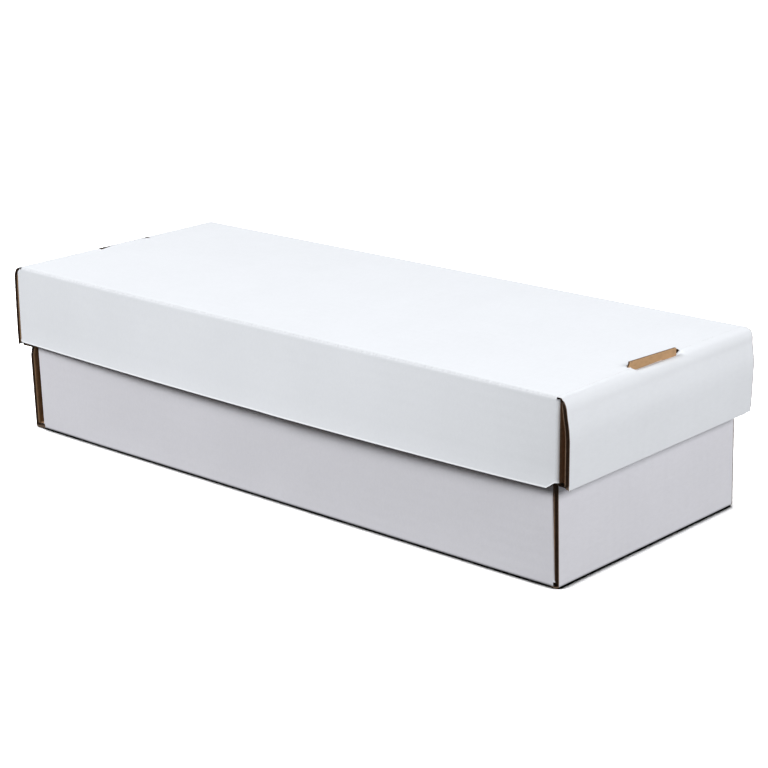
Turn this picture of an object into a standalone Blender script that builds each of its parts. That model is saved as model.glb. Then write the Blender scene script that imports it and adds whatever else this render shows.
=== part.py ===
"""Graded card storage box: a long corrugated base with a lift-off lid.

The base and the lid are each folded from one die-cut blank of white-topped
corrugated board. Each panel between two creases is modelled as a board of its
own. Both ends are rolled over: an outer wall, the corner flaps behind it, a
rim over the top of them, and an inner wall whose tab locks into a slot.

The origin is on the floor, under the middle of the box. +X runs along the box
to the end that shows its tab, +Z is up, and the front is the -Y side.
"""

from math import cos, pi, sin

import bmesh
import bpy
from mathutils import Vector

# Board and fits, in metres
board = 0.0030
seat_gap = 0.0003
panel_play = 0.0005
cut_overrun = 0.0050

# Room for one row of slabs standing on their long edges
bay_length = 0.3960
bay_width = 0.1478
bay_height = 0.0966

# Corner flaps
base_flap_reach = 0.0580
lid_flap_reach = 0.0540
flap_taper = 0.0040

# Locking tabs, and the slots that take them
slot_length = 0.0410
slot_width = 0.0050
slot_shift = 0.0010
tab_width = 0.0357
tab_shift = -0.00115
tab_short = 0.0005
base_slot_lead = 0.0004

# How far the near tab of the lid stands out above the top
lid_tab_proud = 0.0038

# Foot of the far end wall of the base, which stands off below the lid
foot_stand_off = 0.0039
foot_top = 0.0540
foot_blend = 0.0120

# Lid
lid_side_play = 0.0005
lid_end_play = 0.0005
lid_skirt_depth = 0.0476
lid_fold_radius = 0.0044
lid_fold_start = 0.0017
lid_fold_lead = 0.0006
lid_end_bulge = 0.0010
lid_side_flare = 0.0018
lid_side_bow = 0.0045
skirt_chamfer_run = 0.0060
skirt_chamfer_rise = 0.0030

# Steps along the curved boards
fold_steps = 6
wall_steps = 6
bow_steps = 10
height_steps = 2

# Colours
white_liner = (0.86, 0.88, 0.91)
brown_kraft = (0.42, 0.26, 0.14)
liner_roughness = 0.72
kraft_roughness = 0.85

# Places of the base's boards, from the bay outwards
floor_top = board
base_height = board + bay_height
base_side_in = bay_width / 2
base_side_out = base_side_in + board
base_inner_in = bay_length / 2
base_inner_out = base_inner_in + board
base_flap_in = base_inner_out + seat_gap
base_flap_out = base_flap_in + board
base_end_in = base_flap_out + seat_gap
base_end_out = base_end_in + board
base_rim_low = base_height - board
base_wall_low = floor_top + seat_gap
base_under_rim = base_rim_low - seat_gap

# Places of the lid's boards, from the base outwards
lid_under = base_height + seat_gap
lid_height = lid_under + board
lid_low = lid_height - lid_skirt_depth
lid_side_in = base_side_out + lid_side_play
lid_side_out = lid_side_in + board
lid_inner_in = base_end_out + lid_end_play
lid_inner_out = lid_inner_in + board
lid_flap_in = lid_inner_out + seat_gap
lid_flap_out = lid_flap_in + board
lid_slot_out = lid_inner_out + seat_gap
lid_fold_x = lid_slot_out + lid_fold_start
lid_fold_centre_x = lid_fold_x + seat_gap + lid_fold_lead
lid_end_out = lid_fold_centre_x + lid_fold_radius
lid_rim_top = lid_low + board
lid_wall_top = lid_under - seat_gap
lid_fold_centre_z = lid_height - lid_fold_radius


def clear_scene():
    """Remove whatever the file opened with."""
    for old in list(bpy.data.objects):
        bpy.data.objects.remove(old, do_unlink=True)


def new_collection(name):
    """A collection under the scene."""
    found = bpy.data.collections.new(name)
    bpy.context.scene.collection.children.link(found)
    return found


def board_material(name, colour, roughness):
    """A plain paper surface."""
    made = bpy.data.materials.new(name)
    made.use_nodes = True
    shader = made.node_tree.nodes["Principled BSDF"]
    shader.inputs["Base Color"].default_value = (*colour, 1)
    shader.inputs["Roughness"].default_value = roughness
    shader.inputs["Metallic"].default_value = 0
    made.diffuse_color = (*colour, 1)
    return made


def white(name):
    """White top liner, outwards."""
    return board_material(name + "_white", white_liner, liner_roughness)


def kraft(name):
    """Bare brown liner, outwards."""
    return board_material(name + "_kraft", brown_kraft, kraft_roughness)


def move_to(obj, collection):
    """Keep the object in one collection only."""
    for holder in list(obj.users_collection):
        holder.objects.unlink(obj)
    collection.objects.link(obj)


def block(name, low, high, collection, material=None):
    """A box from its low corner to its high corner."""
    low, high = Vector(low), Vector(high)
    bpy.ops.mesh.primitive_cube_add(size=1, location=(low + high) / 2)
    obj = bpy.context.active_object
    obj.name = name
    obj.scale = high - low
    bpy.ops.object.transform_apply(location=False, rotation=False, scale=True)
    if material:
        obj.data.materials.append(material)
    move_to(obj, collection)
    return obj


def upright_board(name, outline, x_in, x_out, collection, material):
    """A flat board across the box, from an outline in Y and Z."""
    curve = bpy.data.curves.new(name, "CURVE")
    curve.dimensions = "2D"
    curve.fill_mode = "BOTH"
    curve.extrude = abs(x_out - x_in) / 2
    spline = curve.splines.new("POLY")
    spline.points.add(len(outline) - 1)
    for point, (y, z) in zip(spline.points, outline):
        point.co = (y, z, 0, 1)
    spline.use_cyclic_u = True
    obj = bpy.data.objects.new(name, curve)
    obj.rotation_euler = (pi / 2, 0, pi / 2)
    obj.location = ((x_in + x_out) / 2, 0, 0)
    curve.materials.append(material)
    collection.objects.link(obj)
    return obj


def bent_board(name, along, across, place, outward, collection, material):
    """A board whose outer face goes through place(a, b), one thickness deep."""
    mesh = bpy.data.meshes.new(name)
    grid = bmesh.new()
    columns, rows = len(along) - 1, len(across) - 1
    bmesh.ops.create_grid(grid, x_segments=columns, y_segments=rows, size=1)
    for vert in grid.verts:
        a = along[round((vert.co.x + 1) / 2 * columns)]
        b = across[round((vert.co.y + 1) / 2 * rows)]
        vert.co = place(a, b)
    grid.normal_update()
    if sum((face.normal.dot(Vector(outward)) for face in grid.faces), 0) < 0:
        bmesh.ops.reverse_faces(grid, faces=grid.faces)
    grid.to_mesh(mesh)
    grid.free()
    obj = bpy.data.objects.new(name, mesh)
    thicken = obj.modifiers.new("board thickness", "SOLIDIFY")
    thicken.thickness = board
    thicken.offset = -1
    thicken.use_even_offset = True
    mesh.materials.append(material)
    collection.objects.link(obj)
    return obj


def cut_slot(target, x_low, x_high, z_low, z_high, cutters):
    """Cut the slot for a locking tab through a flat panel."""
    y_low = slot_shift - slot_length / 2
    y_high = slot_shift + slot_length / 2
    number = len(cutters.objects) + 1
    tool = block(
        "slot_cutter_" + str(number),
        (x_low, y_low, z_low - cut_overrun),
        (x_high, y_high, z_high + cut_overrun),
        cutters,
    )
    tool.hide_render = True
    tool.display_type = "WIRE"
    cut = target.modifiers.new("tab slot", "BOOLEAN")
    cut.operation = "DIFFERENCE"
    cut.solver = "EXACT"
    cut.object = tool


def steps(low, high, count):
    """Evenly spaced values, both ends included."""
    return [low + (high - low) * i / count for i in range(count + 1)]


def tabbed_outline(half_width, wall_end, shoulder, tip):
    """An inner end wall seen along X, with its tab beyond the shoulder."""
    tab_low = tab_shift - tab_width / 2
    tab_high = tab_shift + tab_width / 2
    return [
        (-half_width, wall_end),
        (half_width, wall_end),
        (half_width, shoulder),
        (tab_high, shoulder),
        (tab_high, tip),
        (tab_low, tip),
        (tab_low, shoulder),
        (-half_width, shoulder),
    ]


def build_base(parts, cutters):
    """The tray that holds the slabs."""
    floor_ends = {-1: base_end_out + foot_stand_off, 1: base_end_out}
    floor = block(
        "base_floor",
        (-floor_ends[-1], -base_side_out, 0),
        (floor_ends[1], base_side_out, board),
        parts,
        white("base_floor"),
    )
    for side, side_name in ((-1, "front"), (1, "back")):
        faces = sorted((side * base_side_in, side * base_side_out))
        block(
            "base_side_" + side_name,
            (-base_flap_out, faces[0], base_wall_low),
            (base_flap_out, faces[1], base_height),
            parts,
            white("base_side_" + side_name),
        )
    for end, end_name in ((-1, "left"), (1, "right")):
        slot = sorted((
            end * (base_inner_in - base_slot_lead),
            end * (base_inner_in - base_slot_lead + slot_width),
        ))
        cut_slot(floor, slot[0], slot[1], 0, board, cutters)
        build_base_end(end, end_name, parts)
        for side, side_name in ((-1, "front"), (1, "back")):
            name = "base_flap_" + side_name + "_" + end_name
            fold = side * (base_side_in - seat_gap)
            reach = side * (base_side_in - seat_gap - base_flap_reach)
            outline = [
                (fold, base_wall_low),
                (reach, base_wall_low + flap_taper),
                (reach, base_under_rim - flap_taper),
                (fold, base_under_rim),
            ]
            upright_board(
                name, outline, end * base_flap_in, end * base_flap_out,
                parts, kraft(name),
            )


def build_base_end(end, end_name, parts):
    """One rolled-over end of the base: outer wall, rim, inner wall."""
    inside_width = base_side_in - panel_play
    name = "base_end_outer_" + end_name
    stand_off = foot_stand_off if end < 0 else 0

    def outer_face(y, z):
        """Upright, with its foot standing off at the far end."""
        low = min(max((foot_top - z) / foot_blend, 0), 1)
        ease = low * low * (3 - 2 * low)
        return (end * (base_end_out + stand_off * ease), y, z)

    heights = [base_wall_low]
    heights += steps(foot_top - foot_blend, foot_top, wall_steps)
    heights += [base_under_rim]
    bent_board(
        name, [-base_side_out, base_side_out], heights, outer_face,
        (end, 0, 0), parts, white(name),
    )
    name = "base_end_rim_" + end_name
    ends = sorted((end * base_inner_in, end * base_end_out))
    block(
        name,
        (ends[0], -inside_width, base_rim_low),
        (ends[1], inside_width, base_height),
        parts,
        white(name),
    )
    name = "base_end_inner_" + end_name
    outline = tabbed_outline(
        inside_width, base_under_rim, base_wall_low, tab_short)
    upright_board(
        name, outline, end * base_inner_in, end * base_inner_out,
        parts, white(name),
    )


def build_lid(parts, cutters):
    """The cap over the upper half of the base."""
    top = block(
        "lid_top",
        (-lid_fold_x, -lid_side_out, lid_under),
        (lid_fold_x, lid_side_out, lid_height),
        parts,
        white("lid_top"),
    )
    for side, side_name in ((-1, "front"), (1, "back")):
        build_lid_side(side, side_name, parts)
    for end, end_name in ((-1, "left"), (1, "right")):
        slot = sorted((
            end * lid_slot_out,
            end * (lid_slot_out - slot_width),
        ))
        cut_slot(top, slot[0], slot[1], lid_under, lid_height, cutters)
        build_lid_end(end, end_name, parts)
        for side, side_name in ((-1, "front"), (1, "back")):
            build_lid_flap(end, end_name, side, side_name, parts)


def build_lid_side(side, side_name, parts):
    """A long skirt: flared, bowed out along its lower edge, corners cut."""
    name = "lid_side_" + side_name

    def outer_face(x, share):
        """Share is 0 at the top crease and 1 at the lower edge."""
        along_share = x / lid_flap_out
        bow = lid_side_bow * (1 - along_share * along_share)
        y = lid_side_out + (lid_side_flare + bow) * share
        corner = max(abs(x) - (lid_flap_out - skirt_chamfer_run), 0)
        edge = lid_low + skirt_chamfer_rise * corner / skirt_chamfer_run
        return (x, side * y, lid_wall_top + (edge - lid_wall_top) * share)

    straight = lid_flap_out - skirt_chamfer_run
    stations = [-lid_flap_out]
    stations += steps(-straight, straight, bow_steps)
    stations += [lid_flap_out]
    bent_board(
        name, stations, steps(0, 1, height_steps), outer_face,
        (0, side, 0), parts, white(name),
    )


def build_lid_end(end, end_name, parts):
    """One rolled-over end of the lid: outer wall, rim, inner wall."""
    inside_width = lid_side_in - panel_play
    name = "lid_end_outer_" + end_name
    wall_low = lid_rim_top + seat_gap
    wall_run = lid_fold_centre_z - wall_low

    def outer_face(y, travel):
        """Travel is -1 to 0 round the fold, 0 to 1 down the wall."""
        if travel < -1:
            x = lid_fold_x + seat_gap
            z = lid_height
        elif travel < 0:
            angle = (1 + travel) * pi / 2
            x = lid_fold_centre_x + lid_fold_radius * sin(angle)
            z = lid_fold_centre_z + lid_fold_radius * cos(angle)
        else:
            x = lid_end_out + lid_end_bulge * sin(pi * travel)
            z = lid_fold_centre_z - wall_run * travel
        return (end * x, y, z)

    travels = [-2] + steps(-1, 0, fold_steps) + steps(0, 1, wall_steps)[1:]
    bent_board(
        name, [-lid_side_out, lid_side_out], travels, outer_face,
        (end, 0, 1), parts, white(name),
    )
    name = "lid_end_rim_" + end_name
    ends = sorted((end * lid_inner_in, end * lid_end_out))
    block(
        name,
        (ends[0], -inside_width, lid_low),
        (ends[1], inside_width, lid_rim_top),
        parts,
        white(name),
    )
    name = "lid_end_inner_" + end_name
    tip = lid_height + lid_tab_proud if end > 0 else lid_height - tab_short
    outline = tabbed_outline(inside_width, wall_low, lid_wall_top, tip)
    upright_board(
        name, outline, end * lid_inner_in, end * lid_inner_out,
        parts, kraft(name),
    )


def build_lid_flap(end, end_name, side, side_name, parts):
    """A corner flap, turned in from the skirt and held between the walls."""
    name = "lid_flap_" + side_name + "_" + end_name
    low = lid_rim_top + seat_gap
    top = lid_fold_centre_z + seat_gap
    fold_top = lid_side_in - seat_gap
    fold_low = fold_top + lid_side_flare * (lid_wall_top - low) / (lid_wall_top - lid_low)
    reach = lid_side_in - seat_gap - lid_flap_reach
    outline = [
        (side * fold_top, top),
        (side * fold_low, low),
        (side * (reach + flap_taper), low),
        (side * reach, low + flap_taper),
        (side * reach, top - flap_taper),
        (side * (reach + flap_taper), top),
    ]
    upright_board(
        name, outline, end * lid_flap_in, end * lid_flap_out,
        parts, kraft(name),
    )


clear_scene()
box_parts = new_collection("graded_card_storage_box")
slot_cutters = new_collection("cutters")
build_base(box_parts, slot_cutters)
build_lid(box_parts, slot_cutters)
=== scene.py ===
# %% [markdown]
# # A card storage box, folded from two sheets of corrugated board
#
# The real object is a long tray with a lift-off lid. Each is one flat, die-cut
# blank that is folded up and locked with tabs. So this script does what a box
# maker does: it lays out the two blanks, creases them, rolls their ends over
# and lets them sit a little out of true, as board does.
#
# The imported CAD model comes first. It fixes every main size, and each piece
# made here takes the place of the panels it stands for. Lengths are in metres.

# %% Load the frame
from math import cos, pi, radians, sin

import bpy
import numpy as np
from mathutils import Matrix, Vector


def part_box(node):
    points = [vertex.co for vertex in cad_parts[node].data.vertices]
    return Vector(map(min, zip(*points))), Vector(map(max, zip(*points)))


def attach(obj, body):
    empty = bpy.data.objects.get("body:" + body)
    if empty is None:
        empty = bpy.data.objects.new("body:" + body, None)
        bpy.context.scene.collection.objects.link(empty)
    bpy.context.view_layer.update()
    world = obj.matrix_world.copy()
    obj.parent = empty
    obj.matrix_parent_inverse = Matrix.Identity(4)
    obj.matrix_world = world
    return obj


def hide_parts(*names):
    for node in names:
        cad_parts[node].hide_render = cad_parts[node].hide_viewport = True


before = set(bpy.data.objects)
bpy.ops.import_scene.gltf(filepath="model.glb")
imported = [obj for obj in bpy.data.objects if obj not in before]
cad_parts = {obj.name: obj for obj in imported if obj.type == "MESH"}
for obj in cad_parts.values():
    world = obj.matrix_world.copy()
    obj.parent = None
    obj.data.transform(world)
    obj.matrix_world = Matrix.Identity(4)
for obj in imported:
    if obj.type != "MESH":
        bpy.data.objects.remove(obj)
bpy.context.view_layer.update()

# %% [markdown]
# ## The camera
#
# A photograph's straight edges tell where its camera stood. Here the box's own
# corners were used. The camera is turned about the box by an azimuth and an
# elevation, and rolled a little, because the photographer held it by hand.
# A long lens far away gives the calm, nearly parallel edges of the picture.

# %% Camera
AZIMUTH = radians(43.48)
ELEVATION = radians(17.277)
ROLL = radians(-1.679)
DISTANCE = 1.26619
AIM_RIGHT = 0.0134
AIM_UP = 0.04671
LENS_MM = 100.48
SENSOR_MM = 36

back = Vector((
    sin(AZIMUTH) * cos(ELEVATION),
    -cos(AZIMUTH) * cos(ELEVATION),
    sin(ELEVATION),
))
level = Vector((cos(AZIMUTH), sin(AZIMUTH), 0))
upward = back.cross(level)
camera_right = level * cos(ROLL) + upward * sin(ROLL)
camera_up = upward * cos(ROLL) - level * sin(ROLL)
camera_data = bpy.data.cameras.new("camera")
camera_data.lens = LENS_MM
camera_data.sensor_width = SENSOR_MM
camera_data.clip_end = 50
camera = bpy.data.objects.new("camera", camera_data)
turn = Matrix((camera_right, camera_up, back)).transposed().to_4x4()
place = level * AIM_RIGHT + upward * AIM_UP + back * DISTANCE
camera.matrix_world = Matrix.Translation(place) @ turn
bpy.context.scene.collection.objects.link(camera)
bpy.context.scene.camera = camera
print("camera stands at", tuple(round(value, 3) for value in place))

# %% [markdown]
# ## Light and floor
#
# White board shows its form only through small steps of grey: the top is
# nearly white, the long side a step darker and the end another. The dark lines
# under the lid and the dark hollows in the cut edges say that little light
# comes from below or from where the camera stands. So there are four wide,
# soft lamps: one to the left, two to the right, high and low, and one overhead,
# with only a dim even sky between them.
#
# The backdrop is white only to the camera and to mirrors. That keeps it from
# pouring more light on the box. The floor's colour holds a painted contact
# shadow: an occlusion test darkens it only where the box touches it.

# %% World
def wire(tree, kind, inputs=None, **settings):
    """A new node, with its settings made and its inputs given values or links."""
    node = tree.nodes.new(kind)
    for name, value in settings.items():
        setattr(node, name, value)
    for socket, value in (inputs or {}).items():
        if isinstance(value, bpy.types.NodeSocket):
            tree.links.new(value, node.inputs[socket])
        else:
            node.inputs[socket].default_value = value
    return node


def maths(tree, operation, *values):
    """One step of arithmetic on values or sockets."""
    return wire(tree, "ShaderNodeMath", dict(enumerate(values)), operation=operation).outputs[0]


def sees_backdrop(tree):
    """One where a ray looks, in glass or a mirror too, and nought where it lights."""
    path = wire(tree, "ShaderNodeLightPath").outputs
    either = maths(tree, "ADD", path["Is Camera Ray"], path["Is Glossy Ray"])
    return maths(tree, "MINIMUM", maths(tree, "ADD", either, path["Is Transmission Ray"]), 1)


SKY_LIGHT = 0.11
SKY_TINT = (0.97, 0.98, 1.0, 1)
WHITE = (1, 1, 1, 1)
world = bpy.data.worlds.new("studio")
bpy.context.scene.world = world
world.use_nodes = True
sky = world.node_tree
sky.nodes.clear()
soft = wire(sky, "ShaderNodeBackground", {"Color": SKY_TINT, "Strength": SKY_LIGHT})
white = wire(sky, "ShaderNodeBackground", {"Color": WHITE, "Strength": 1})
either_sky = wire(sky, "ShaderNodeMixShader", {
    0: sees_backdrop(sky), 1: soft.outputs[0], 2: white.outputs[0],
})
wire(sky, "ShaderNodeOutputWorld", {"Surface": either_sky.outputs[0]})
print("sky gives", SKY_LIGHT, "of the backdrop's white")

# %% Soft lamps
def soft_lamp(name, azimuth, elevation, distance, width, height, watts):
    """A wide lamp that faces the box from a direction given in degrees."""
    data = bpy.data.lights.new(name, "AREA")
    data.shape = "RECTANGLE"
    data.size, data.size_y = width, height
    data.energy = watts
    lit = bpy.data.objects.new(name, data)
    flat, rise_of = radians(azimuth), radians(elevation)
    way = Vector((sin(flat) * cos(rise_of), -cos(flat) * cos(rise_of), sin(rise_of)))
    lit.location = way * distance
    lit.rotation_euler = way.to_track_quat("Z", "Y").to_euler()
    lit.visible_camera = False
    bpy.context.scene.collection.objects.link(lit)
    print(name, "gives", watts, "watts from", distance, "metres")


soft_lamp("front_lamp", azimuth=-36, elevation=37, distance=3.2, width=1.6, height=1.0, watts=102.0)
soft_lamp("right_lamp", azimuth=100, elevation=30, distance=2.6, width=1.6, height=0.9, watts=46.5)
soft_lamp("right_low_lamp", azimuth=96, elevation=7, distance=2.6, width=1.6, height=0.5, watts=4.5)
soft_lamp("top_lamp", azimuth=20, elevation=80, distance=2.4, width=2.2, height=2.2, watts=4.0)

# %% Floor
FLOOR_REACH = 9
FLOOR_DROP = 0.0002
FLOOR_GAIN = 5.0
FLOOR_MIRRORED = 0.8
FLOOR_BOUNCE = 0.06
PAINTED_SHADOW_REACH = 0.009
PAINTED_SHADOW_DARKEST = 0.52
PAINTED_SHADOW_CLEAR = 1.30
around = [(-1, -1), (1, -1), (1, 1), (-1, 1)]
floor_mesh = bpy.data.meshes.new("floor")
floor_mesh.from_pydata(
    [(x * FLOOR_REACH, y * FLOOR_REACH, -FLOOR_DROP) for x, y in around], [], [(0, 1, 2, 3)],
)
floor = bpy.data.objects.new("floor", floor_mesh)
bpy.context.scene.collection.objects.link(floor)
floor_paint = bpy.data.materials.new("floor_white")
floor_paint.use_nodes = True
paint = floor_paint.node_tree
paint.nodes.clear()
dim = wire(paint, "ShaderNodeBsdfDiffuse", {"Color": (FLOOR_BOUNCE, FLOOR_BOUNCE, FLOOR_BOUNCE, 1)})
camera_ray = wire(paint, "ShaderNodeLightPath").outputs["Is Camera Ray"]
# Painted contact shadow: the floor's colour darkens where an occlusion test finds the box close by.
contact = wire(paint, "ShaderNodeAmbientOcclusion", {"Distance": PAINTED_SHADOW_REACH}, samples=8)
painted_contact_shadow = wire(paint, "ShaderNodeMapRange", {
    "Value": contact.outputs["AO"], "From Min": PAINTED_SHADOW_DARKEST, "From Max": PAINTED_SHADOW_CLEAR,
    "To Max": maths(paint, "MULTIPLY_ADD", camera_ray, FLOOR_GAIN - FLOOR_MIRRORED, FLOOR_MIRRORED),
})
seen = wire(paint, "ShaderNodeBsdfDiffuse", {"Color": painted_contact_shadow.outputs[0]})
either_floor = wire(paint, "ShaderNodeMixShader", {
    0: sees_backdrop(paint), 1: dim.outputs[0], 2: seen.outputs[0],
})
wire(paint, "ShaderNodeOutputMaterial", {"Surface": either_floor.outputs[0]})
floor_mesh.materials.append(floor_paint)
print("floor lies", FLOOR_DROP, "below the box")

# %% [markdown]
# ## How a board turns a corner
#
# Corrugated board is two flat papers, the liners, with a wavy one between.
# Where it is creased, the outer liner goes round in a small arc and the inner
# one is pinched into a tight line. A board is therefore drawn here as two
# lines side by side, its outer and its inner face, which keep step with each
# other. Anything between them, such as the wavy paper, is a share of the way
# from one to the other.
#
# Each line is written down once as a table of points against travel, the
# distance along the outer face. Any place on the board is then looked up.

# %% A board seen edge-on
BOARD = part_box("base_floor")[1].z
INSIDE_CREASE = 0.0003
CREASE_REACH = 0.0030
CREASE_STEPS = 13
CREASE_PULL = 1.5
ARC_STEPS = 24


def roll_board(corners, radii):
    """Travel, outer points and inner points of a board that turns inwards
    by a right angle at each middle corner."""
    corners = np.array(corners, float)
    legs = np.diff(corners, axis=0)
    spans = np.linalg.norm(legs, axis=1)
    ways = legs / spans[:, None]
    outer_round = [0, *radii, 0]
    inner_round = [0, *(max(r - BOARD, INSIDE_CREASE) for r in radii), 0]
    pulls = [BOARD + i - o if o else 0 for o, i in zip(outer_round, inner_round)]
    travel, outer, inner, folds = [0.0], [], [], []
    for leg, (way, span_of) in enumerate(zip(ways, spans)):
        inward = ways[leg + 1] if leg + 1 < len(ways) else -ways[leg - 1]
        start, stop = outer_round[leg], span_of - outer_round[leg + 1]
        begin = travel[-1]
        near_start = start + CREASE_REACH * np.linspace(0, 1, CREASE_STEPS)
        near_stop = stop - CREASE_REACH * np.linspace(1, 0, CREASE_STEPS)
        for a in sorted({round(x, 9) for x in [*near_start, *near_stop] if start <= x <= stop}):
            after = max(1 - (a - start) / CREASE_REACH, 0) ** CREASE_PULL
            before = max(1 - (stop - a) / CREASE_REACH, 0) ** CREASE_PULL
            pulled = a + pulls[leg] * after - pulls[leg + 1] * before
            travel.append(begin + a - start)
            outer.append(corners[leg] + way * a)
            inner.append(corners[leg] + way * pulled + inward * BOARD)
        if leg + 1 < len(ways):
            begin, radius, tight = travel[-1], outer_round[leg + 1], inner_round[leg + 1]
            corner = corners[leg + 1]
            folds.append((begin, begin + radius * pi / 2))
            for step in range(1, ARC_STEPS + 1):
                angle = pi / 2 * step / ARC_STEPS
                spoke = way * sin(angle) - inward * cos(angle)
                middle = inward - way
                travel.append(begin + radius * angle)
                outer.append(corner + middle * radius + spoke * radius)
                inner.append(corner + middle * (BOARD + tight) + spoke * tight)
    return {
        "travel": np.array(travel[1:]),
        "outer": np.array(outer),
        "inner": np.array(inner),
        "folds": folds,
    }


def look_up(roll, travel, face):
    """Points on one face of a rolled board."""
    table = roll[face]
    return [np.interp(travel, roll["travel"], table[:, k]) for k in (0, 1)]


print("board is", round(BOARD, 4), "thick")

# %% [markdown]
# ## The two blanks
#
# Base and lid are cut to the same pattern: a middle panel with a wall on each
# long side, a small flap at both ends of each wall, and at each end a strip
# that goes up, over the flaps and down again inside, where its tab locks into
# a slot. The sizes come from the CAD panels. Only what those leave open, such
# as how round a crease is, is a number here.

# %% Sizes of the base and the lid
TAB_WIDTH = 0.0357
TAB_MIDDLE = -0.00115
SLOT_LENGTH = 0.0410
SLOT_MIDDLE = 0.0010
BASE_TAB_TIP = 0.0005
BASE_END_TRIM = 0.0003
LID_END_TRIM = 0.0005
LID_FLAP_STARTS = 0.0012
END_TUCK = 0.0016
FLAP_TUCK = 0.0018
SHOULDER_GAP = 0.0003


def span(node, axis):
    """Lowest and highest value of a CAD panel along one axis."""
    low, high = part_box(node)
    return low[axis], high[axis]


def about(place, before, after):
    """From a little before a place to a little after it."""
    return place - before, place + after


TAB_SPAN = about(TAB_MIDDLE, TAB_WIDTH / 2, TAB_WIDTH / 2)
SLOT_SPAN = about(SLOT_MIDDLE, SLOT_LENGTH / 2, SLOT_LENGTH / 2)
base = {
    "name": "base",
    "half_width": span("base_side_back", 1)[1],
    "depth": span("base_side_back", 2)[1],
    "end_out": span("base_end_rim_right", 0)[1],
    "inner_face": span("base_end_inner_right", 0)[0],
    "flap_out": span("base_flap_back_right", 0)[1],
    "flap_reach": span("base_flap_back_right", 1)[0],
    "flap_rise": span("base_flap_back_right", 2),
    "roll_half": span("base_end_inner_right", 1)[1],
    "wall_half": span("base_end_outer_right", 1)[1] - BASE_END_TRIM,
    "side_round": 0.0018,
    "end_round": 0.0018,
    "rim_round": 0.0018,
    "flap_round": 0.0016,
    "tips": {-1: BASE_TAB_TIP, 1: BASE_TAB_TIP},
    "slot": about(span("base_end_inner_right", 0)[0], before=0.0004, after=0.0046),
}
lid_top_height = span("lid_top", 2)[1]
lid_depth = lid_top_height - span("lid_end_rim_right", 2)[0]
lid = {
    "name": "lid",
    "half_width": span("lid_top", 1)[1],
    "depth": lid_depth,
    "end_out": span("lid_end_rim_right", 0)[1] - END_TUCK,
    "inner_face": span("lid_end_inner_right", 0)[0],
    "flap_out": span("lid_flap_back_right", 0)[1] - FLAP_TUCK,
    "flap_reach": span("lid_flap_back_right", 1)[0],
    "flap_rise": (LID_FLAP_STARTS, lid_depth),
    "roll_half": span("lid_end_inner_right", 1)[1],
    "wall_half": span("lid_top", 1)[1] - LID_END_TRIM,
    "side_round": 0.0018,
    "end_round": 0.0066,
    "rim_round": 0.0010,
    "flap_round": 0.0026,
    "tips": {-1: 0.0005, 1: lid_top_height - span("lid_end_inner_right", 2)[1]},
    "slot": about(span("lid_end_inner_right", 0)[0], before=0.0022, after=0.0016),
}
for size in (base, lid):
    print(size["name"], {k: np.round(v, 4) for k, v in size.items() if k not in ("name", "tips")})

# %% Creased lines of a blank
def crease(size):
    """The rolled boards that a blank's walls, ends and flaps follow."""
    half, depth, out = size["half_width"], size["depth"], size["end_out"]
    sides = roll_board(
        [(-half, depth), (-half, 0), (half, 0), (half, depth)],
        [size["side_round"]] * 2,
    )
    middle = sides["travel"][-1] / 2
    sides["travel"] = sides["travel"] - middle
    sides["folds"] = [(a - middle, b - middle) for a, b in sides["folds"]]
    size["sides"] = sides
    size["ends"] = {
        end: roll_board(
            [(0, 0), (out, 0), (out, depth), (size["inner_face"], depth), (size["inner_face"], tip)],
            [size["end_round"], size["rim_round"], size["rim_round"]],
        )
        for end, tip in size["tips"].items()
    }
    size["flaps"] = roll_board(
        [(0, half), (size["flap_out"], half), (size["flap_out"], size["flap_reach"])],
        [size["flap_round"]],
    )
    size["hinge"] = size["flaps"]["folds"][0][0]
    size["wall_top"] = sides["travel"][-1]
    size["up_wall"] = sides["folds"][1][1] - size["side_round"]
    rolled_over = size["ends"][1]["folds"][2][1]
    size["shoulder"] = rolled_over + depth - size["rim_round"] - BOARD - SHOULDER_GAP
    return size


crease(base)
crease(lid)
print("blank of the base, half length and half width:",
      round(base["ends"][1]["travel"][-1], 4), round(base["wall_top"], 4))

# %% [markdown]
# ## Panels of a blank
#
# On the flat blank every panel is a rectangle, so a panel is a grid of
# stations: lines along the box, u, and lines across it, v. Stations crowd
# together at creases and at cut edges, where the shape changes fast, and are
# far apart where the board is plain. Panels that meet share their stations,
# so that the paper runs on without a seam.

# %% Stations
KNIFE_REACH = 0.0011
KNIFE_STEPS = (0.0, 0.25, 0.6, 1.0)
FOLD_STEPS = (0.3, 0.65, 1)
BEFORE_HINGE = (0.0030, 0.0015)
PAST_HINGE = (0.001, 0.002, 0.004, 0.006)
TAB_STEP = 0.001
WALL_STEP = 0.006
SAME_STATION = 4e-5
SAME_LINE = 1e-5
LINER_GRID = (8, 0.016, 0.012)


def near_cut(edge, inward):
    """Stations just inside a cut edge."""
    return [edge + inward * KNIFE_REACH * step for step in KNIFE_STEPS]


def near_folds(folds, arc_steps):
    """Stations round each crease and just beside it."""
    made = []
    for start, stop in folds:
        made += list(np.linspace(start, stop, arc_steps + 1))
        made += [start - CREASE_REACH * s for s in FOLD_STEPS]
        made += [stop + CREASE_REACH * s for s in FOLD_STEPS]
    return made


def stations(low, high, marks, widest):
    """Every mark from low to high, and even steps between marks."""
    kept = sorted({round(m, 7) for m in [low, high, *marks] if low - 1e-7 <= m <= high + 1e-7})
    spaced = [kept[0]]
    for mark in kept[1:]:
        if mark - spaced[-1] < SAME_STATION:
            continue
        count = int(np.ceil((mark - spaced[-1]) / widest - 1e-6))
        spaced += list(np.linspace(spaced[-1], mark, count + 1)[1:])
    return np.array(spaced)


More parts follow.
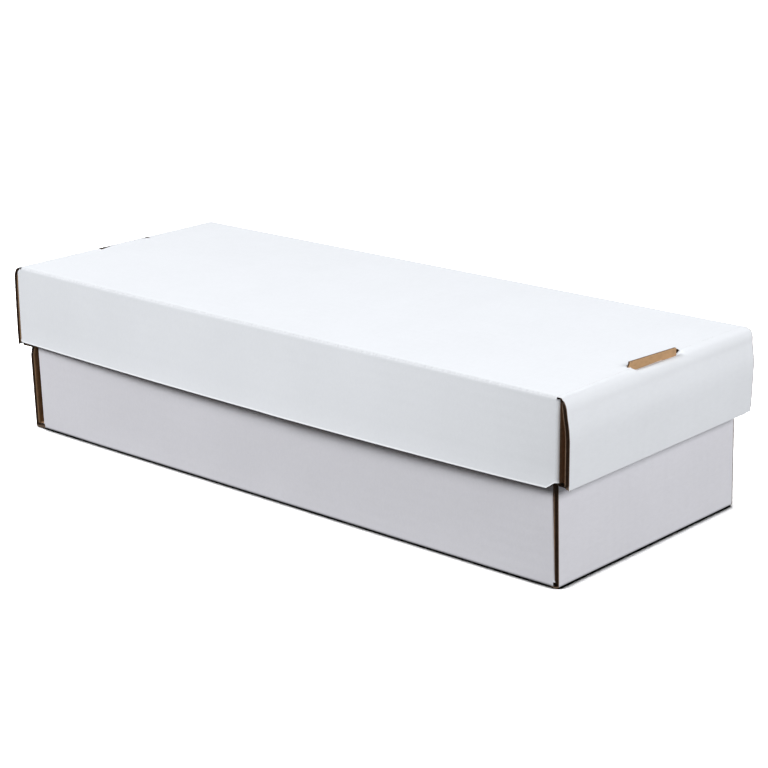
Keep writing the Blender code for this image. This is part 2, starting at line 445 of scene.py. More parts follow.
def end_panels(size, end, roll, across, arc_steps, widest_along):
    """The wall, the roll, the tab and the two flaps at one end of a blank."""
    hinge, folds, tip = size["hinge"], roll["folds"], roll["travel"][-1]
    turn_over, shoulder = folds[1][0], size["shoulder"]

    def part_of(low, high):
        """The shared stations across, from low to high."""
        return across[(across > low - 2 * SAME_LINE) & (across < high + 2 * SAME_LINE)]

    strips = [
        ("wall", hinge, turn_over, WALL_STEP, -size["wall_half"], size["wall_half"], ("v-", "v+")),
        ("roll", turn_over, shoulder, WALL_STEP, -size["roll_half"], size["roll_half"], ("v-", "v+")),
        ("tab", shoulder, tip, TAB_STEP, *TAB_SPAN, ("v-", "v+", "u+")),
    ]
    marks = near_folds(folds, arc_steps) + near_cut(tip, -1) + near_cut(shoulder, -1)
    marks += [hinge + s for s in PAST_HINGE]
    made = [{
        "name": name, "end": end, "u": stations(start, stop, marks, widest), "v": part_of(low, high),
        "cut": cut, "hole": None,
    } for name, start, stop, widest, low, high, cut in strips]
    stop = size["flaps"]["travel"][-1]
    marks = near_folds(size["flaps"]["folds"], arc_steps) + near_cut(stop, -1)
    u = stations(hinge, stop, marks, widest_along)
    for side in (-1, 1):
        low, high = sorted(side * (size["up_wall"] + rise_to) for rise_to in size["flap_rise"])
        made.append({
            "name": "flap", "end": end, "side": side, "u": u, "v": part_of(low, high),
            "cut": ("v-", "v+", "u+"), "hole": None,
        })
    if end < 0:
        for panel in made:
            panel["u"] = -panel["u"][::-1]
            panel["cut"] = tuple("u-" if c == "u+" else c for c in panel["cut"])
    return made


def lay_out(size, arc_steps, widest_along, widest_across):
    """The panels of one blank: name, stations, cut edges and holes."""
    hinge, top, slot = size["hinge"], size["wall_top"], size["slot"]
    rise_low, rise_high = (size["up_wall"] + rise_to for rise_to in size["flap_rise"])
    across = near_folds(size["sides"]["folds"], arc_steps)
    for edge in (size["wall_half"], size["roll_half"], rise_high, top):
        across += near_cut(edge, -1) + near_cut(-edge, 1)
    across += near_cut(rise_low, 1) + near_cut(-rise_low, -1)
    across += near_cut(TAB_SPAN[0], 1) + near_cut(TAB_SPAN[1], -1)
    across += near_cut(SLOT_SPAN[0], -1) + near_cut(SLOT_SPAN[1], 1)
    across = stations(-top, top, across, widest_across)
    along = near_cut(slot[0], -1) + near_cut(slot[1], 1) + [hinge - s for s in BEFORE_HINGE]
    along = stations(0, hinge, along, widest_along)
    along = np.concatenate([-along[::-1], along[1:]])
    panels = [{
        "name": "middle", "end": 0, "u": along, "v": across,
        "cut": ("v-", "v+"),
        "hole": (slot, SLOT_SPAN),
    }]
    for end, roll in size["ends"].items():
        panels += end_panels(size, end, roll, across, arc_steps, widest_along)
    return panels


print("panels of the base:", [(p["name"], len(p["u"]), len(p["v"])) for p in lay_out(base, *LINER_GRID)])

# %% [markdown]
# ## Folding a panel
#
# Each kind of panel has its own rule for where a place on the flat blank
# ends up. The rules agree along the lines where panels meet. Heights are
# measured inwards from the middle panel, so one rule serves both halves: the
# base stands on its middle panel and the lid hangs from it.

# %% Fold
FLAP_TAPER = 0.0040
EASE_OUT = 0.0060


def ease(share):
    """A smooth step from nought to one."""
    share = np.clip(share, 0, 1)
    return share * share * (3 - 2 * share)


def rise(value, start, reach):
    """Nought up to start, one beyond start and reach, and smooth between."""
    return ease((value - start) / reach)


def fold_panel(size, panel, u, v):
    """Outer and inner points of a panel, as x, y and height, for flat u and v."""
    end = np.where(u < 0, -1.0, 1.0)
    run = np.abs(u)
    points = {}
    for face, deep in (("outer", 0.0), ("inner", BOARD)):
        side_y, side_h = look_up(size["sides"], v, face)
        if panel["name"] == "middle":
            flap_x = look_up(size["flaps"], run, face)[0]
            on_wall = ease((np.abs(side_h) - deep) / size["side_round"])
            x = run + (flap_x - run) * on_wall
            points[face] = [end * x, side_y, side_h]
        elif panel["name"] == "flap":
            x, out = look_up(size["flaps"], run, face)
            away = (run - size["hinge"]) / (size["flaps"]["travel"][-1] - size["hinge"])
            low, high = size["flap_rise"]
            centre = (low + high) / 2
            narrow = 1 - 2 * FLAP_TAPER / (high - low) * ease(away)
            side_h = centre + (side_h - centre) * narrow
            points[face] = [end * x, panel["side"] * out, side_h]
        else:
            flat = ease((run - size["hinge"]) / EASE_OUT)
            y = side_y + (v - side_y) * flat
            depth = side_h + (deep - side_h) * flat
            roll = size["ends"][panel["end"]]
            outer_x, outer_h = look_up(roll, run, "outer")
            inner_x, inner_h = look_up(roll, run, "inner")
            share = depth / BOARD
            x = outer_x + (inner_x - outer_x) * share
            points[face] = [end * x, y, outer_h + (inner_h - outer_h) * share]
    return {face: np.stack(xyz, axis=-1) for face, xyz in points.items()}


def cut_distance(panel, u, v):
    """How far each place is from the nearest cut edge of its panel."""
    far = np.full(u.shape, 1.0)
    low_u, high_u = panel["u"][0], panel["u"][-1]
    low_v, high_v = panel["v"][0], panel["v"][-1]
    ways = {"u-": u - low_u, "u+": high_u - u, "v-": v - low_v, "v+": high_v - v}
    for edge in panel["cut"]:
        far = np.minimum(far, ways[edge])
    if panel["hole"]:
        (u0, u1), (v0, v1) = panel["hole"]
        run = np.abs(u)
        gap_u = np.maximum(np.maximum(u0 - run, run - u1), 0)
        gap_v = np.maximum(np.maximum(v0 - v, v - v1), 0)
        far = np.minimum(far, np.hypot(gap_u, gap_v))
    return np.maximum(far, 0)


edge = fold_panel(lid, {"name": "middle"}, np.zeros(1), np.array([-lid["wall_top"]]))
print("lower edge of the lid's front skirt, before it bows:", np.round(edge["outer"][0], 4))

# %% [markdown]
# ## Out of true
#
# A real box is never as square as its drawing. The lid's skirts bow outwards
# between the corners. Its near end wall is round like a cushion, its far end wall
# hangs lower and stands off, and one far corner of the top is lifted. The near
# tab leans and is twisted, and presses down the lip of its slot. The far slot is
# pinched shut in its middle. At the far end the foot of the base stands off.
#
# All of these are gentle shifts of the folded board. They move its faces and its
# wavy paper together, and stay inside the CAD box. A pair of numbers says where
# a shift starts and how far it takes to grow.

# %% How the lid gives
SKIRT_BOW = 0.0050
BOW_MIDDLE = 0.030
BOW_LEFT = 0.246
BOW_RIGHT = 0.185
BOW_BLUNT = 0.6
LEAN_NEAR = 0.0007
LEAN_FAR = 0.0002
SKIRT_FREE = (0.045, 0.030)
NEAR_SPREAD = (
    (0.0, 0.02, 0.10, 0.21, 0.30, 0.43, 1.0),
    (0, -0.0008, -0.0007, 0.0001, 0.0010, 0.0016, 0.0016),
)
BACK_SPREAD = ((0.0, 0.03, 0.15, 0.5, 1.0), (0, 0.0013, 0.0002, -0.0003, -0.0012))
END_SPREAD = 0.0024
SPREAD_STARTS = 0.02
SPREAD_BLUNT = 0.6
FAR_REACH = 0.0022
FAR_FOLLOWS = 0.6
FAR_RUN = (0.185, 0.025)
FAR_HEIGHT = (0.0005, 0.0035)
PINCH = 0.95
PINCH_FADE = 0.006
WALL_SKIN = 0.0012
SKEW_AT_FOLD = 0.0006
SKEW_SOON = 6
SKEW_BELOW = 0.0013
STACK_PRESS = 0.80
LIP_BEND = (0.0013, 0.0016)
LIP_OVERLAP = 0.001
LIP_FADE = 0.003
LIP_INSIDE = 0.0008
LIP_OUTSIDE = 0.0068
LIP_DEPTH = 0.008
LIP_DEPTH_FADE = 0.006
TAB_FREE = 0.004
TAB_LEAN = -0.0017
TAB_TWIST = 0.0035
TAB_PINCH = 0.0012
TAB_DROP = 0.0009
TAB_WIDER_LEFT = 0.0021
TAB_WIDER_RIGHT = 0.0009
TAB_CORNER = 0.0018
TAB_CORNER_HEIGHT = 0.0030
TAB_CORNER_SHARE = 0.08
CORNER_LIFT = 0.0013
LIFT_LENGTH = 0.218
LID_WIDTH = 0.16
SKIRT_DROPS = 0.6
END_DROPS = 3.6


def skirt_bow(x):
    """How far the lower edge of a skirt springs out, along the box."""
    offset = x - BOW_MIDDLE
    left = np.clip(1 - (offset / BOW_LEFT) ** 2, 0, 1)
    right = np.clip(1 - (offset / BOW_RIGHT) ** 2, 0, 1) ** BOW_BLUNT
    return SKIRT_BOW * np.where(offset < 0, left, right)


def end_spread(x, y, share):
    """How far an end wall springs out, from the fold down to its lower edge."""
    back_side = np.clip((y + LID_WIDTH / 2) / LID_WIDTH, 0, 1)
    near_end = np.interp(share, *NEAR_SPREAD) + back_side * np.interp(share, *BACK_SPREAD)
    below = np.clip((share - SPREAD_STARTS) / (1 - SPREAD_STARTS), 0, 1)
    return np.where(x > 0, near_end, END_SPREAD * below ** SPREAD_BLUNT)


def lip_bent(size, x, y, h):
    """Where the outer lip of the near slot is bent down, from nought to one."""
    front = ease((y - SLOT_SPAN[0] + LIP_OVERLAP) / LIP_FADE)
    along = np.minimum(front, ease((SLOT_SPAN[1] + LIP_OVERLAP - y) / LIP_FADE))
    inside = rise(x, size["slot"][1] - LIP_INSIDE, LIP_INSIDE)
    outside = np.clip(1 - (x - size["hinge"]) / LIP_OUTSIDE, 0, 1)
    return along * inside * outside * ease((LIP_DEPTH - h) / LIP_DEPTH_FADE)


def skirts_give(size, place, share, spread):
    """Bowed skirts, a far edge that stands off and a far slot pinched shut."""
    x, y, h = place.T
    shift = np.zeros_like(place)
    lean = skirt_bow(x) + np.where(x > 0, LEAN_NEAR, LEAN_FAR)
    shift[:, 1] += np.sign(y) * lean * share * rise(np.abs(y), *SKIRT_FREE)
    shift[:, 0] -= (FAR_FOLLOWS * spread + FAR_REACH) * rise(-x, *FAR_RUN) * rise(h, *FAR_HEIGHT)
    low, high = size["slot"]
    closed = np.clip((SLOT_LENGTH / 2 - np.abs(y - SLOT_MIDDLE)) / PINCH_FADE, 0, 1)
    lip = rise(-x, low - PINCH_FADE, PINCH_FADE) * (-x < low + SAME_LINE)
    shift[:, 0] -= (high - low) * PINCH * ease(closed) * lip
    return shift


def ends_give(size, panel, place, share, spread):
    """End walls that spring out and lean sideways, with their boards pressed together."""
    x = place[:, 0]
    side, run = np.sign(x), np.abs(x)
    shift = np.zeros_like(place)
    outside = np.clip((run - size["end_out"] + BOARD + WALL_SKIN) / WALL_SKIN, 0, 1)
    shift[:, 0] += side * spread * outside
    skew = SKEW_AT_FOLD * ease(share * SKEW_SOON) + SKEW_BELOW * share
    shift[:, 1] -= np.where(x > 0, skew, 0) * outside
    if panel["name"] != "wall":
        stacked = np.clip(run - size["inner_face"], 0, BOARD)
        shift[:, 0] -= side * stacked * (1 - STACK_PRESS)
    return shift


def tab_gives(size, place):
    """The near tab: leaning, twisted, a little wider and lower, one corner cut."""
    x, y, h = place.T
    shift = np.zeros_like(place)
    over = ease((TAB_FREE - h) / TAB_FREE)
    along = np.clip((y - TAB_MIDDLE) / TAB_WIDTH + 0.5, 0, 1)
    pinch = 1 - np.clip((np.abs(x) - size["inner_face"]) / BOARD, 0, 1)
    shift[:, 0] = (TAB_LEAN + TAB_TWIST * along + TAB_PINCH * pinch) * over
    wider = TAB_WIDER_LEFT * (1 - along) + TAB_WIDER_RIGHT * along
    corner = np.clip(-h / TAB_CORNER_HEIGHT, 0, 1)
    corner = corner * np.clip((TAB_CORNER_SHARE - along) / TAB_CORNER_SHARE, 0, 1)
    shift[:, 1] = TAB_CORNER * corner - wider * over
    shift[:, 2] = TAB_DROP * over
    return shift


def lid_gives(size, panel, place):
    """The shift of points of the lid, in x, y and height."""
    x, y, h = place.T
    share = np.clip(h / size["depth"], 0, 1)
    spread = end_spread(x, y, share)
    on_skirts = panel["name"] in ("middle", "flap")
    if on_skirts:
        shift = skirts_give(size, place, share, spread)
    else:
        shift = ends_give(size, panel, place, share, spread)
    if panel["name"] in ("middle", "wall"):
        lip = lip_bent(size, x, y, h)
        shift[:, 0] += LIP_BEND[0] * lip
        shift[:, 2] += LIP_BEND[1] * lip
    if panel["name"] == "tab" and panel["end"] > 0:
        shift += tab_gives(size, place)
    lifted = np.clip(-x / LIFT_LENGTH, 0, 1) ** 2 * np.clip(0.5 - y / LID_WIDTH, 0, 1)
    lifted = lifted * (1 - share * (SKIRT_DROPS if on_skirts else END_DROPS))
    shift[:, 2] -= CORNER_LIFT * lifted
    return shift


print("skirts of the lid bow out by", float(skirt_bow(BOW_MIDDLE)))

# %% How the base gives
FOOT_STAND_OFF = -span("base_floor", 0)[0] - base["end_out"]
FOOT_HEIGHT = 0.0552
FOOT_BLEND = 0.0045
FOOT_FLARE = 0.0004
FOOT_CREASE = 0.0090
FLARE_MIDDLE = 0.010
FLARE_HALF = 0.185
FLARE_FADE = 0.020
FLARE_WALL = (0.070, 0.004)
CORNER_SHUT = 0.0018
CORNER_CLOSES = 0.085
CORNER_REACH = 0.012
CORNER_ARC = 0.0016
CORNER_ARC_FADE = 0.0014


def base_gives(size, panel, place):
    """The shift of points of the base, in x, y and height."""
    x, y, h = place.T
    shift = np.zeros_like(place)
    if panel["name"] == "wall" and panel["end"] < 0:
        out = rise(-x, size["hinge"], size["end_out"] - BOARD - size["hinge"])
        foot = ease((FOOT_HEIGHT - h) / FOOT_BLEND)
        shift[:, 0] -= FOOT_STAND_OFF * foot * out
    if panel["name"] in ("middle", "flap"):
        corner = rise(x, size["hinge"] - CORNER_REACH, CORNER_REACH) * np.clip(1 - h / CORNER_CLOSES, 0, 1)
        on_arc = rise(np.abs(y), size["half_width"] - CORNER_ARC, CORNER_ARC_FADE)
        shift[:, 0] += CORNER_SHUT * corner * on_arc
    if panel["name"] == "middle":
        foot = np.clip(1 - h / FOOT_CREASE, 0, 1)
        along = ease((FLARE_HALF - np.abs(x - FLARE_MIDDLE)) / FLARE_FADE)
        shift[:, 1] += np.sign(y) * FOOT_FLARE * foot * along * rise(np.abs(y), *FLARE_WALL)
    return shift


print("foot of the base stands off by", round(FOOT_STAND_OFF, 4))

# %% [markdown]
# ## Cut edges
#
# The blank is cut by a steel rule pressed up through the brown side. The rule
# drags the brown paper with it and leaves a fine burr on the white one, so a cut
# edge shows a thin white lip, then a dark hollow, and the board is thinner there.
# The lid's skirt corners are cut off at a slant as well. For each end, three
# numbers say how long the slant is, how high, and how far past the crease.

# %% Shape one panel
KNIFE_DRAG = 0.20
BURR = 0.09
CHAMFERS = {-1: (0.0030, 0.0010, 0.0030), 1: (0.0052, 0.0036, 0.0)}
CHAMFER_REACH = 0.012
FLAP_THINNED = 0.0010
FLAP_TURNS = 0.006
ROLLED_EDGE = 0.003
gives = {"base": base_gives, "lid": lid_gives}


def shape_panel(size, panel):
    """Flat and folded places of every station of a panel, and its faces."""
    u, v = np.meshgrid(panel["u"], panel["v"], indexing="ij")
    columns = u.shape[1]
    flat_u, flat_v = u.ravel(), v.ravel()
    points = fold_panel(size, panel, flat_u, flat_v)
    if size["name"] == "lid" and panel["name"] in ("middle", "flap"):
        for end, (length, height, past_hinge) in CHAMFERS.items():
            corner = np.clip((end * flat_u - size["hinge"] - past_hinge + length) / length, 0, 1)
            for face in points.values():
                low = rise(face[:, 2], size["depth"] - CHAMFER_REACH, CHAMFER_REACH)
                face[:, 2] -= height * corner * low
    if size["name"] == "lid" and panel["name"] == "flap":
        turned = rise(np.abs(flat_u), size["hinge"], FLAP_TURNS)
        points["inner"][:, 0] += panel["end"] * FLAP_THINNED * turned
    for face in points.values():
        face += gives[size["name"]](size, panel, face)
    cut = np.clip(1 - cut_distance(panel, flat_u, flat_v) / KNIFE_REACH, 0, 1) ** 2
    on_floor = panel["name"] == "middle" and size["name"] == "base"
    low_edge = size["depth"] - points["outer"][:, 2] < ROLLED_EDGE
    burr = BURR * cut * (np.abs(flat_v) > size["up_wall"] if on_floor else 1)
    burr = np.where(low_edge & (panel["name"] in ("wall", "roll")), 0, burr)
    rows, cols = np.meshgrid(np.arange(u.shape[0] - 1), np.arange(columns - 1), indexing="ij")
    first = (rows * columns + cols).ravel()
    faces = np.stack([first, first + columns, first + columns + 1, first + 1], axis=-1)
    if panel["hole"]:
        (u0, u1), (v0, v1) = panel["hole"]
        mid_u = np.abs(flat_u[faces].mean(axis=1))
        mid_v = flat_v[faces].mean(axis=1)
        inside = (mid_u > u0) & (mid_u < u1) & (mid_v > v0) & (mid_v < v1)
        faces = faces[~inside]
    return {
        "outer": points["outer"], "inner": points["inner"],
        "drag": KNIFE_DRAG * cut, "burr": burr,
        "flat": np.stack([flat_u, flat_v], axis=-1), "faces": faces,
    }


print("slants of the skirt corners:", CHAMFERS)

# %% Join the panels of a blank
# Painted shade on the folds: the rounded creases get a darker colour, so they catch no more light than the
# panels beside them. Fibre noise breaks it up a little, like wear.
END_FOLD_SHADE = 0.06
FOLD_SHADE_FADE = 0.0025
FOLD_SHADE_PAST_HINGE = 0.002
FOLD_SHADE_PAST_EDGE = 1e-4
WELD_CELLS = 5e5
WELD_OFFSET = 0.37


def painted_fold_shade(size, flat):
    """Painted shade on the creases: one on a fold's arc, fading to nought beside it."""
    run, across = np.abs(flat[:, 0]), flat[:, 1]
    fold_shade = []
    for start, stop in size["sides"]["folds"]:
        round_fold = np.sin(pi * np.clip((across - start) / (stop - start), 0, 1))
        fold_shade.append(np.where(run < size["hinge"] + FOLD_SHADE_PAST_HINGE, round_fold, 0))
    for start, stop in size["ends"][1]["folds"]:
        inside = np.abs(across) < size["wall_half"] + FOLD_SHADE_PAST_EDGE
        near_fold = 1 - np.maximum(np.maximum(start - run, run - stop), 0) / FOLD_SHADE_FADE
        fold_shade.append(np.where(inside, END_FOLD_SHADE * near_fold, 0))
    return np.clip(np.max(fold_shade, axis=0), 0, 1)


def shape_blank(size, arc_steps, widest_along, widest_across):
    """All panels of a blank as one sheet, joined where they meet."""
    made, count = [], 0
    for panel in lay_out(size, arc_steps, widest_along, widest_across):
        shaped = shape_panel(size, panel)
        shaped["faces"] = shaped["faces"] + count
        count += len(shaped["flat"])
        made.append(shaped)
    sheet = {key: np.concatenate([m[key] for m in made]) for key in made[0]}
    both = np.concatenate([sheet["outer"], sheet["inner"]], axis=1)
    cells = np.floor(both * WELD_CELLS + WELD_OFFSET).astype(np.int64)
    _, first, merged = np.unique(cells, axis=0, return_index=True, return_inverse=True)
    used, faces = np.unique(merged.reshape(-1)[sheet.pop("faces")], return_inverse=True)
    joined = {key: values[first[used]] for key, values in sheet.items()}
    joined["faces"] = faces.reshape(-1, 4)
    joined["crease"] = painted_fold_shade(size, joined["flat"])
    if size["name"] == "base":
        joined["faces"] = joined["faces"][:, ::-1]
    else:
        for face in ("outer", "inner"):
            joined[face][:, 2] = lid_top_height - joined[face][:, 2]
    return joined


for size in (base, lid):
    size["sheet"] = shape_blank(size, *LINER_GRID)
    print(size["name"], "sheet has", len(size["sheet"]["faces"]), "faces")

# %% [markdown]
# ## The liners
#
# A liner is thin paper, so it is a closed shell: a face on each side and a
# narrow strip round every edge. The outer liner is white only on its face. Its
# back and its cut edge get the dark flute paper, which is why the white looks like
# a skin; on the cut edge that dark brown is painted shade for the hollow there.
# The outsides of the corner flaps, which only the open corners show, are white
# board too, but they get the same dark brown, as painted shade for their slots.

# %% Make a liner
LINER = 0.00035
FLAP_ARC_UNSHADED = 0.55
SMOOTH_BELOW = radians(50)


def between(sheet, share):
    """Points at a share of the way through the board, thinned at cut edges."""
    through = share * (1 - sheet["drag"]) - sheet["burr"] * (1 - share)
    return sheet["outer"] + (sheet["inner"] - sheet["outer"]) * through[:, None]


def edge_loops(faces):
    """The open edges of a sheet, in the direction of their faces."""
    starts = faces.ravel()
    ends = np.roll(faces, -1, axis=1).ravel()
    pairs = np.stack([np.minimum(starts, ends), np.maximum(starts, ends)], axis=-1)
    _, back_to, counts = np.unique(pairs, axis=0, return_inverse=True, return_counts=True)
    alone = counts[back_to.reshape(-1)] == 1
    return np.stack([starts[alone], ends[alone]], axis=-1)


def store(mesh, name, kind, values):
    """A value for each point of a mesh, for its material or its tree to read."""
    attribute = mesh.attributes.new(name, kind, "POINT")
    field = "vector" if kind == "FLOAT_VECTOR" else "value"
    attribute.data.foreach_set(field, np.ascontiguousarray(values, np.float32).ravel())


def lay_blank_map(mesh, flat):
    """A UV map that holds places on the flat blank, in metres."""
    layer = mesh.uv_layers.new(name="blank")
    corners = np.zeros(len(mesh.loops), np.int32)
    mesh.loops.foreach_get("vertex_index", corners)
    layer.data.foreach_set("uv", flat[corners].astype(np.float32).ravel())


def make_liner(name, size, from_share, to_share):
    """A paper skin between two shares of the board's thickness."""
    sheet = size["sheet"]
    count = len(sheet["flat"])
    points = np.concatenate([between(sheet, from_share), between(sheet, to_share)])
    top = sheet["faces"]
    under = top[:, ::-1] + count
    loops = edge_loops(top)
    rim = np.stack([loops[:, 1], loops[:, 0], loops[:, 0] + count, loops[:, 1] + count], axis=-1)
    mesh = bpy.data.meshes.new(name)
    mesh.from_pydata(points.tolist(), [], np.concatenate([top, under, rim]).tolist())
    middle = np.abs(sheet["flat"][top].mean(axis=1))
    # Faces with index 2 get the dark flute paper. On the white outsides of the corner flaps, past the first
    # part of their arc, that is painted shade for the deep slot they sit in. On the cut edges of both liners,
    # except the kraft liner's edges round the tab, it is painted shade for the dark hollows there.
    flap_starts = size["hinge"] + FLAP_ARC_UNSHADED * size["flap_round"] * pi / 2
    flap_painted_shade = (from_share == 0) & (middle[:, 0] > flap_starts) & (middle[:, 1] > size["up_wall"])
    on_tab = np.abs(sheet["flat"][loops[:, 0], 0]) > size["shoulder"]
    skins = [np.where(flap_painted_shade, 2, 0), np.ones(len(under), int), np.where(on_tab, 1, 2)]
    mesh.polygons.foreach_set("material_index", np.concatenate(skins))
    mesh.polygons.foreach_set("use_smooth", np.ones(len(mesh.polygons), bool))
    mesh.set_sharp_from_angle(angle=SMOOTH_BELOW)
    lay_blank_map(mesh, np.tile(sheet["flat"], (2, 1)))
    store(mesh, "crease", "FLOAT", np.tile(sheet["crease"], 2))
    mesh.validate()
    mesh.update()
    piece = bpy.data.objects.new(name, mesh)
    bpy.context.scene.collection.objects.link(piece)
    print(name, "has", len(mesh.polygons), "faces")
    return piece


share_of_liner = LINER / BOARD
for size in (base, lid):
    size["white"] = make_liner(size["name"] + "_white_liner", size, 0, share_of_liner)
    size["kraft"] = make_liner(size["name"] + "_kraft_liner", size, 1 - share_of_liner, 1)

# %% [markdown]
# ## The flutes
#
# Between the liners runs the paper that gives the board its name: a wave with
# one crest every six to seven millimetres. It is the same rule repeated over
# the whole blank, so a Geometry Nodes tree makes it. Each point of a plain
# sheet carries its place on both faces of the board and its distance across
# the blank. The tree turns that distance into a wave and moves the point
# between the faces.

# %% Geometry Nodes tree for the wave
FLUTE_PITCH = 0.0064
WAVE_SHARE = 0.4
MEDIUM = 0.00020


def corrugate_tree():
    """A tree that presses a sheet into flutes."""
    tree = bpy.data.node_groups.new("corrugate", "GeometryNodeTree")
    face = tree.interface
    face.new_socket("Geometry", in_out="INPUT", socket_type="NodeSocketGeometry")
    for name, value in (("Flute Pitch", FLUTE_PITCH), ("Wave Share", WAVE_SHARE)):
        socket = face.new_socket(name, in_out="INPUT", socket_type="NodeSocketFloat")
        socket.default_value = value
    face.new_socket("Paper", in_out="INPUT", socket_type="NodeSocketMaterial")
    face.new_socket("Geometry", in_out="OUTPUT", socket_type="NodeSocketGeometry")
    given = wire(tree, "NodeGroupInput").outputs

    def stored(name, kind):
        """One of the sheet's attributes."""
        node = wire(tree, "GeometryNodeInputNamedAttribute", {"Name": name}, data_type=kind)
        return node.outputs["Attribute"]

    crests = maths(tree, "DIVIDE", stored("across", "FLOAT"), given["Flute Pitch"])
    wave = maths(tree, "COSINE", maths(tree, "MULTIPLY", crests, 2 * pi))
    share = maths(tree, "MULTIPLY_ADD", wave, given["Wave Share"], 0.5)
    kept = maths(tree, "SUBTRACT", 1, stored("drag", "FLOAT"))
    goes_to = wire(tree, "ShaderNodeMix", {
        0: maths(tree, "MULTIPLY", share, kept),
        4: stored("outer_face", "FLOAT_VECTOR"), 5: stored("inner_face", "FLOAT_VECTOR"),
    }, data_type="VECTOR").outputs[1]
    press = wire(tree, "GeometryNodeSetPosition", {"Geometry": given["Geometry"], "Position": goes_to})
    smooth = wire(tree, "GeometryNodeSetShadeSmooth", {"Geometry": press.outputs[0]})
    real = wire(tree, "GeometryNodeRealizeInstances", {0: smooth.outputs[0]})
    paper = wire(tree, "GeometryNodeSetMaterial", {"Geometry": real.outputs[0], "Material": given["Paper"]})
    wire(tree, "NodeGroupOutput", {0: paper.outputs[0]})
    return tree


corrugate = corrugate_tree()
socket_of = {
    item.name: item.identifier for item in corrugate.interface.items_tree
    if item.item_type == "SOCKET" and item.in_out == "INPUT"
}
print("inputs of the flute tree:", socket_of)

# %% [markdown]
# ## Paper
#
# Three papers make the box. The white one is smooth and nearly even; the base
# gets a darker, greyer copy of it, which is painted shade. The brown one, kraft, is
# cloudy and full of fibres. The wavy one is rougher and much darker: a little of
# that is the paper, the rest is painted shade for the hollows between the liners.
# Two effects are common to all of them and are made once, as node groups: the
# grain of the paper, and the faint stripes where the flutes show through a liner.

# %% Node groups for grain and flutes
FIBRE_STRETCH = (1.0, 0.28, 0.6)


def shader_group(name, takes, gives_out):
    """A shader group, and sockets for its inputs: a number, or a vector for None."""
    group = bpy.data.node_groups.new(name, "ShaderNodeTree")
    for label, value in takes.items():
        kind = "NodeSocketVector" if value is None else "NodeSocketFloat"
        socket = group.interface.new_socket(label, in_out="INPUT", socket_type=kind)
        if value is not None:
            socket.default_value = value
    for label in gives_out:
        group.interface.new_socket(label, in_out="OUTPUT", socket_type="NodeSocketFloat")
    return group, wire(group, "NodeGroupInput").outputs


def paper_grain_group():
    """Clouds, long fibres and specks, from places in metres."""
    takes = {"Place": None, "Cloud Scale": 45.0, "Fibre Scale": 900.0, "Speck Amount": 0.5}
    group, given = shader_group("paper_grain", takes, ("Cloud", "Fibre", "Speck"))
    cloud = wire(group, "ShaderNodeTexNoise", {
        "Vector": given["Place"], "Scale": given["Cloud Scale"], "Detail": 5, "Roughness": 0.62,
    })
    stretch = wire(group, "ShaderNodeVectorMath", {0: given["Place"], 1: FIBRE_STRETCH}, operation="MULTIPLY")
    fibre = wire(group, "ShaderNodeTexNoise", {
        "Vector": stretch.outputs[0], "Scale": given["Fibre Scale"], "Detail": 3, "Distortion": 0.6,
    })
    speck = wire(group, "ShaderNodeTexNoise", {"Vector": stretch.outputs[0], "Scale": 1600, "Detail": 2})
    narrow = wire(group, "ShaderNodeMapRange", {
        "Value": speck.outputs["Fac"], "From Min": 0.62, "From Max": 0.74,
    }, interpolation_type="SMOOTHSTEP")
    wire(group, "NodeGroupOutput", {
        "Cloud": cloud.outputs["Fac"], "Fibre": fibre.outputs["Fac"],
        "Speck": maths(group, "MULTIPLY", narrow.outputs[0], given["Speck Amount"]),
    })
    return group


def flute_show_group():
    """Faint stripes where the flutes press through a liner."""
    group, given = shader_group("flute_show", {"Blank": None, "Pitch": FLUTE_PITCH}, ("Ridge",))
    across = wire(group, "ShaderNodeSeparateXYZ", {0: given["Blank"]}).outputs["Y"]
    crest = maths(group, "DIVIDE", across, given["Pitch"])
    wave = maths(group, "SINE", maths(group, "MULTIPLY", crest, 2 * pi))
    uneven = wire(group, "ShaderNodeTexNoise", {"Vector": given["Blank"], "Scale": 14, "Detail": 2})
    strength = wire(group, "ShaderNodeMapRange", {
        "Value": uneven.outputs["Fac"], "From Min": 0.35, "From Max": 0.7,
    })
    faded = maths(group, "MULTIPLY", wave, strength.outputs[0])
    wire(group, "NodeGroupOutput", {"Ridge": maths(group, "MULTIPLY_ADD", faded, 0.5, 0.5)})
    return group


paper_grain = paper_grain_group()
flute_show = flute_show_group()
print("node groups:", paper_grain.name, flute_show.name)

# %% Paper materials
WHITE_LID = (0.845, 0.870, 0.910)
# The base's white is the lid's white made darker and greyer: painted shade for the base, which stands below
# the lid's overhang.
WHITE_BASE_SHADED = (0.790, 0.789, 0.840)
KRAFT_LIGHT = (0.560, 0.340, 0.176)
# The wavy paper's brown is much darker than the kraft: a little of that is the paper, the rest is painted
# shade for the hollows between the liners.
FLUTE_BROWN_AND_PAINTED_SHADE = (0.170, 0.112, 0.076)
FIBRE_SHARE = 0.45
CLOUD_SHARE = 0.55
FOLD_SHADE_SHOWS = 0.90
SPECK_TONE = 0.55
ROUGHNESS_SPREAD = 0.07
RIDGE_HEIGHT = 0.55


def mix_colours(tree, share, first, second):
    """A colour between two colours."""
    return wire(tree, "ShaderNodeMix", {0: share, 6: first, 7: second}, data_type="RGBA").outputs[2]


